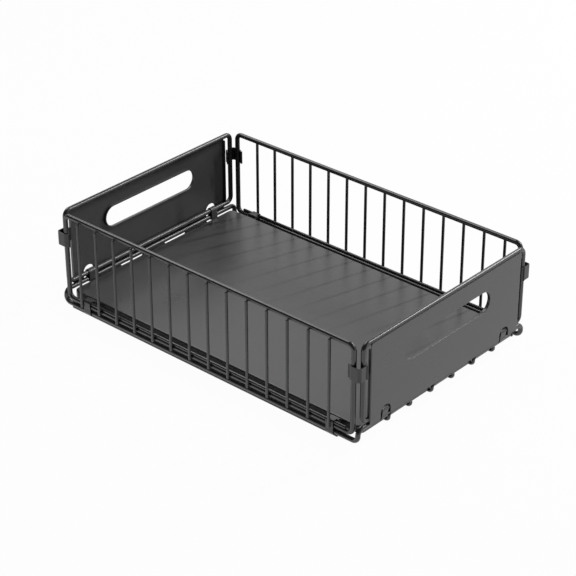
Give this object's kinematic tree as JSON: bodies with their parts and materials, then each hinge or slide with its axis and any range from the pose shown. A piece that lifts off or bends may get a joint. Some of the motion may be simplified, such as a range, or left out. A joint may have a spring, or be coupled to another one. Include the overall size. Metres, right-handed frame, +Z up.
{
  "type": "pull out cabinet basket",
  "caption": "Low rectangular wire basket with folding wire grilles on its long sides, folding sheet ends with hand slots, and a sheet floor on wires.",
  "frame": {"origin": "middle of the footprint, on the surface that the runner wires stand on", "axes": "+X towards the right end panel, +Y towards the back grille, +Z up"},
  "size_m": [0.3936, 0.26, 0.1073],
  "materials": {
    "wire": "satin dark grey powder coat",
    "sheet": "fine textured dark grey powder coat",
    "strap": "satin dark grey powder coat",
    "clip": "satin dark grey coated spring steel",
    "pin": "plain steel"
  },
  "bodies": {
    "base": {"base_frame": "wire", "floor_loop_front": "wire", "floor_loop_middle": "wire", "floor_loop_back": "wire", "runner_front": "wire", "runner_back": "wire", "floor_plate": "sheet", "front_hinge_pins": "pin", "back_hinge_pins": "pin", "front_bracket_left": "strap", "front_bracket_right": "strap", "back_bracket_left": "strap", "back_bracket_right": "strap", "left_end_strap_front": "strap", "left_end_strap_back": "strap", "right_end_strap_front": "strap", "right_end_strap_back": "strap"},
    "front_grille": {"front_grille_loop": "wire", "front_grille_uprights": "wire", "front_grille_cross_wire": "wire", "front_strap_left": "strap", "front_strap_right": "strap"},
    "back_grille": {"back_grille_loop": "wire", "back_grille_uprights": "wire", "back_grille_cross_wire": "wire", "back_strap_left": "strap", "back_strap_right": "strap"},
    "left_end": {"left_end_loop": "wire", "left_end_panel": "sheet"},
    "right_end": {"right_end_loop": "wire", "right_end_panel": "sheet"},
    "front_left_clip": {"clip_front_left": "clip"},
    "front_right_clip": {"clip_front_right": "clip"},
    "back_left_clip": {"clip_back_left": "clip"},
    "back_right_clip": {"clip_back_right": "clip"}
  },
  "joints": [
    {"name": "front_grille_fold", "type": "hinge", "parent": "base", "child": "front_grille", "pos_m": [0, -0.12095, 0.0156], "axis": [-1, 0, 0], "range_deg": [0, 90]},
    {"name": "back_grille_fold", "type": "hinge", "parent": "base", "child": "back_grille", "pos_m": [0, 0.12095, 0.0156], "axis": [1, 0, 0], "range_deg": [0, 90]},
    {"name": "left_end_fold", "type": "hinge", "parent": "base", "child": "left_end", "pos_m": [-0.1922, 0, 0.0248], "axis": [0, 1, 0], "range_deg": [0, 84], "deforming": ["clip_front_left", "clip_back_left"]},
    {"name": "right_end_fold", "type": "hinge", "parent": "base", "child": "right_end", "pos_m": [0.1922, 0, 0.0248], "axis": [0, -1, 0], "range_deg": [0, 84], "deforming": ["clip_front_right", "clip_back_right"]},
    {"name": "front_left_clip_swing", "type": "hinge", "parent": "left_end", "child": "front_left_clip", "pos_m": [-0.1922, -0.1192, 0.078], "axis": [0, 0, -1], "range_deg": [0, 120]},
    {"name": "front_right_clip_swing", "type": "hinge", "parent": "right_end", "child": "front_right_clip", "pos_m": [0.1922, -0.1192, 0.078], "axis": [0, 0, 1], "range_deg": [0, 120]},
    {"name": "back_left_clip_swing", "type": "hinge", "parent": "left_end", "child": "back_left_clip", "pos_m": [-0.1922, 0.1192, 0.078], "axis": [0, 0, 1], "range_deg": [0, 120]},
    {"name": "back_right_clip_swing", "type": "hinge", "parent": "right_end", "child": "back_right_clip", "pos_m": [0.1922, 0.1192, 0.078], "axis": [0, 0, -1], "range_deg": [0, 120]}
  ],
  "couplings": [
    {"joint": "front_left_clip_swing", "follows": "left_end_fold", "ratio": 1.4285},
    {"joint": "back_left_clip_swing", "follows": "left_end_fold", "ratio": 1.4285},
    {"joint": "front_right_clip_swing", "follows": "right_end_fold", "ratio": 1.4285},
    {"joint": "back_right_clip_swing", "follows": "right_end_fold", "ratio": 1.4285}
  ]
}
